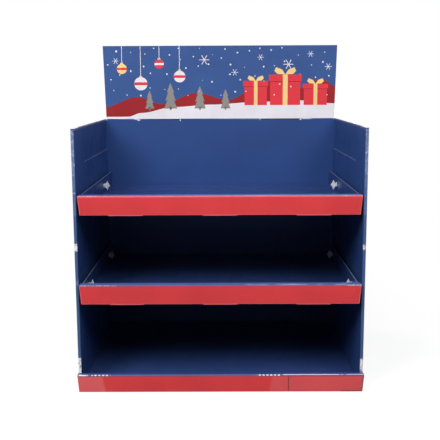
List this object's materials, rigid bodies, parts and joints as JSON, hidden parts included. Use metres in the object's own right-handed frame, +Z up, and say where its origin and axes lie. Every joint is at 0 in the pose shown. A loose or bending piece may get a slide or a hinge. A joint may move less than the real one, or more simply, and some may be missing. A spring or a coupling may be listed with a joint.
{
  "type": "cardboard display stand",
  "caption": "Free-standing open-fronted display stand of folded printed corrugated board, with clipped shelf trays, a base tray and a header card.",
  "frame": {"origin": "centre of the whole object's footprint box, on the ground", "axes": "+Z up; the open front faces -Y; X runs along the trays"},
  "size_m": [0.6056, 0.4122, 0.738],
  "materials": {
    "blue_board": "blue print under gloss varnish on corrugated board",
    "tray_board": "red lip and blue inside, printed under gloss varnish",
    "header_board": "printed thin corrugated card",
    "clip_plastic": "moulded, off-white"
  },
  "bodies": {
    "root": {"shell": "blue_board", "base_tray": "tray_board", "middle_tray": "tray_board", "top_tray": "tray_board", "header_card": "header_board", "shelf_clips": "clip_plastic"}
  },
  "joints": []
}
